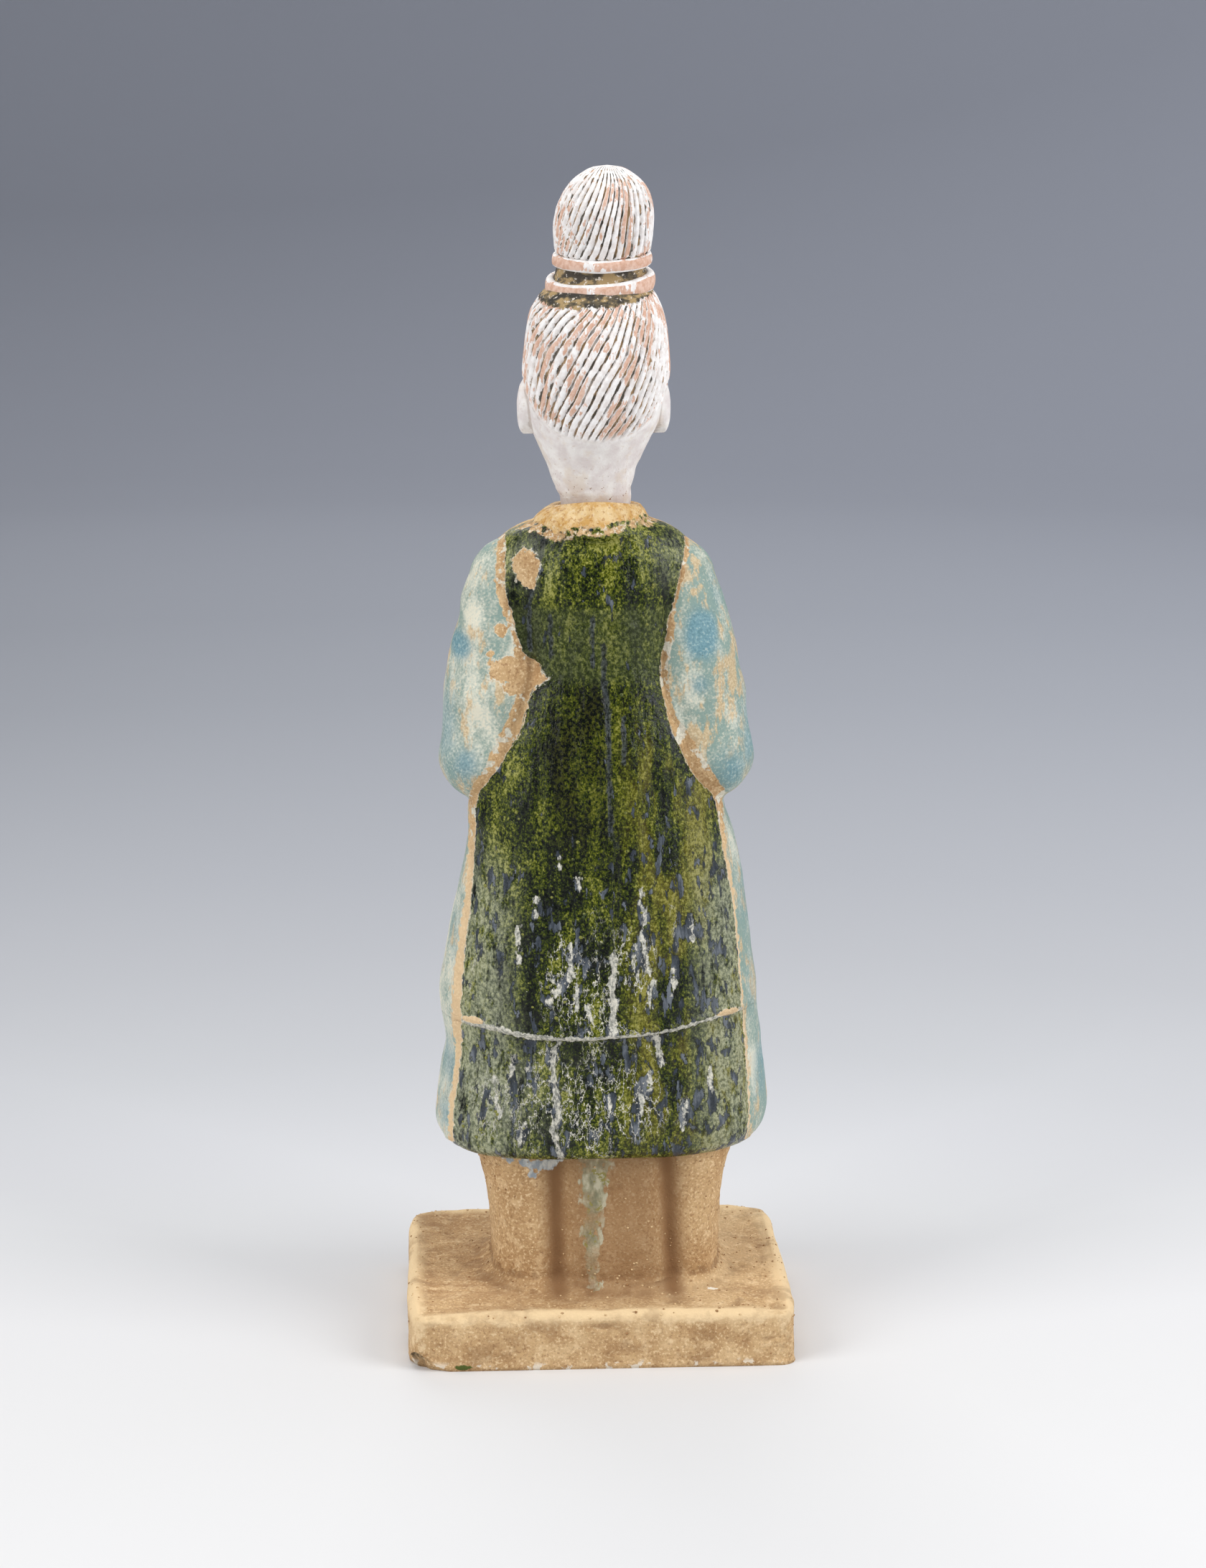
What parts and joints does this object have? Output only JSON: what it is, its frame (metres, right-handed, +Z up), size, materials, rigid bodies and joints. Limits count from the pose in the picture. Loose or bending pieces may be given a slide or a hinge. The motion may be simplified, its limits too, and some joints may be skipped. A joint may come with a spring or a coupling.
{
  "type": "tomb figurine",
  "caption": "Standing glazed earthenware attendant in a long robe on a rectangular plinth, sleeves joined in front, with a separate unglazed head whose neck sits in the collar.",
  "frame": {"origin": "centre of the plinth's underside", "axes": "+Z up, the figure faces -Y, +X is the figure's left"},
  "size_m": [0.08, 0.066, 0.24],
  "materials": {
    "glazed_earthenware": "mottled dark green glaze on the vest, pale turquoise on the sleeves, amber on the collar, bare buff clay on legs and plinth",
    "painted_clay": "matt worn pink and white pigment over buff clay"
  },
  "bodies": {
    "root": {"robed_body": "glazed_earthenware", "head": "painted_clay"}
  },
  "joints": []
}
